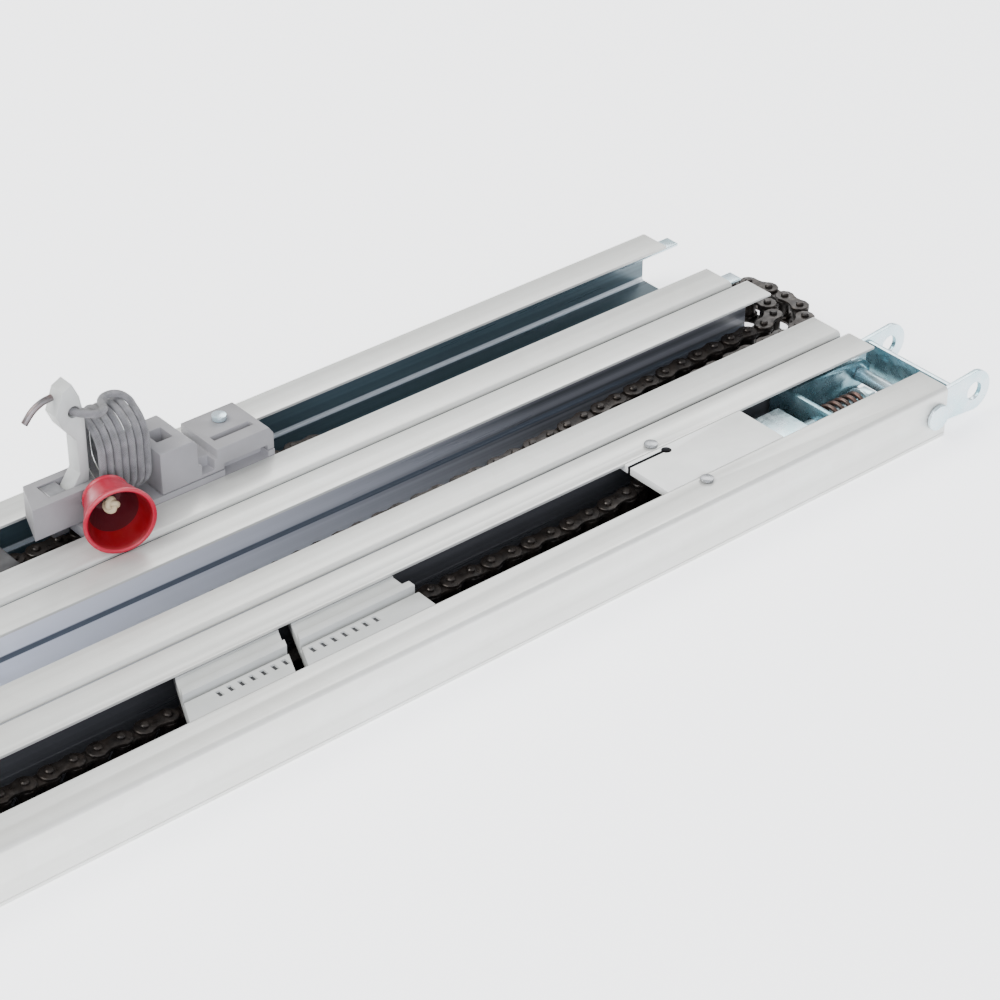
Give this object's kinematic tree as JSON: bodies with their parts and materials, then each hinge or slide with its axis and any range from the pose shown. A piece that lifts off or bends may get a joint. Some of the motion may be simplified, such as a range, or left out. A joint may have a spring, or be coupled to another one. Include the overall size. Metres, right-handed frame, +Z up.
{
  "type": "garage door opener rail set",
  "caption": "Folded three-part C-section chain rail with trolley, quick-release cord and bell, spring tensioner, drive sprocket and pivoting header bracket.",
  "frame": {"origin": "middle of the middle rail's underside, halfway along it", "axes": "+X along the rails towards the header bracket, +Y from the front rail to the rear rail that carries the trolley, +Z up out of the rails' slots"},
  "size_m": [1.0849, 0.1729, 0.082],
  "materials": {
    "galvanised_strip": "galvanised strip, cream grey, satin",
    "zinc": "bright zinc plate with a cool blue cast",
    "chain_steel": "oiled dark steel",
    "tooth_steel": "hardened steel, dull",
    "black_plastic": "black moulded nylon",
    "grey_plastic": "light grey moulded nylon",
    "pale_plastic": "pale grey moulded plastic",
    "red_plastic": "red moulded plastic",
    "cord_fibre": "grey braided nylon cord",
    "knot_fibre": "beige cord end",
    "spring_steel": "dark spring steel",
    "bronze": "sintered bronze"
  },
  "bodies": {
    "rails": {"rail_front": "galvanised_strip", "rail_middle": "galvanised_strip", "rail_rear": "galvanised_strip", "slot_cover": "pale_plastic", "cover_rivet_near": "zinc", "cover_rivet_far": "zinc", "tension_anchor": "zinc", "pivot_pin": "zinc", "pivot_clip": "spring_steel", "joint_tongue_near": "zinc", "joint_tongue_far": "zinc", "drive_plate": "zinc", "drive_rivet_near": "zinc", "drive_rivet_far": "zinc", "drive_bush": "bronze", "chain_front_near": "chain_steel", "chain_front_far": "chain_steel", "chain_middle_near": "chain_steel", "chain_middle_far": "chain_steel", "chain_rear_near": "chain_steel", "chain_rear_far": "chain_steel", "chain_turn_left_inner": "chain_steel", "chain_turn_left_outer": "chain_steel", "chain_turn_right_inner": "chain_steel", "chain_turn_right_outer": "chain_steel", "chain_turn_drive": "chain_steel", "chain_shuttle": "black_plastic"},
    "header_bracket": {"header_bracket": "zinc"},
    "tension_carriage": {"idler_fork": "zinc", "idler_axle": "zinc", "tension_bolt": "zinc", "tension_washer": "zinc", "tension_nut": "zinc", "chain_turn_idler": "chain_steel", "tension_spring": "spring_steel"},
    "idler_sprocket": {"idler_sprocket": "tooth_steel"},
    "drive_sprocket": {"drive_sprocket": "tooth_steel"},
    "trolley": {"trolley_guide": "grey_plastic", "trolley_body": "grey_plastic", "trolley_nose": "grey_plastic", "trolley_screw_1": "zinc", "trolley_screw_2": "zinc", "lever_pin": "zinc", "cord_hank": "cord_fibre", "cord_lead": "cord_fibre", "cord_tail": "cord_fibre", "cord_knot": "knot_fibre", "release_bell": "red_plastic"},
    "release_lever": {"release_lever": "pale_plastic", "release_hook": "spring_steel"},
    "latch": {"latch": "tooth_steel"},
    "rail_coupler_right": {"rail_coupler_right": "pale_plastic"},
    "rail_coupler_left": {"rail_coupler_left": "pale_plastic"}
  },
  "joints": [
    {"name": "header_tilt", "type": "hinge", "parent": "rails", "child": "header_bracket", "pos_m": [0.5114, -0.0575, 0.0123], "axis": [0, 1, 0], "range_deg": [-20, 20]},
    {"name": "tension_slide", "type": "slide", "parent": "rails", "child": "tension_carriage", "axis": [1, 0, 0], "range_m": [-0.004, 0.004], "stiffness_N_per_m": 5000, "deforming": ["tension_spring"]},
    {"name": "idler_spin", "type": "hinge", "parent": "tension_carriage", "child": "idler_sprocket", "pos_m": [0.416, -0.0575, 0.01055], "axis": [0, 0, 1], "continuous": true},
    {"name": "drive_spin", "type": "hinge", "parent": "rails", "child": "drive_sprocket", "pos_m": [-0.488, 0.0575, 0.01055], "axis": [0, 0, 1], "continuous": true},
    {"name": "trolley_slide", "type": "slide", "parent": "rails", "child": "trolley", "axis": [1, 0, 0], "range_m": [-0.62, 0.19]},
    {"name": "lever_pull", "type": "hinge", "parent": "trolley", "child": "release_lever", "pos_m": [0.2035, 0.0575, 0.035], "axis": [0, -1, 0], "range_deg": [0, 25]},
    {"name": "latch_drop", "type": "slide", "parent": "trolley", "child": "latch", "axis": [0, 0, -1], "range_m": [0, 0.00401]},
    {"name": "coupler_right_slide", "type": "slide", "parent": "rails", "child": "rail_coupler_right", "axis": [1, 0, 0], "range_m": [-0.0024, 0.105]},
    {"name": "coupler_left_slide", "type": "slide", "parent": "rails", "child": "rail_coupler_left", "axis": [1, 0, 0], "range_m": [-0.66, 0.0024]}
  ],
  "couplings": [
    {"joint": "idler_spin", "follows": "drive_spin", "ratio": 1},
    {"joint": "latch_drop", "follows": "lever_pull", "m_per_rad": 0.00916}
  ]
}
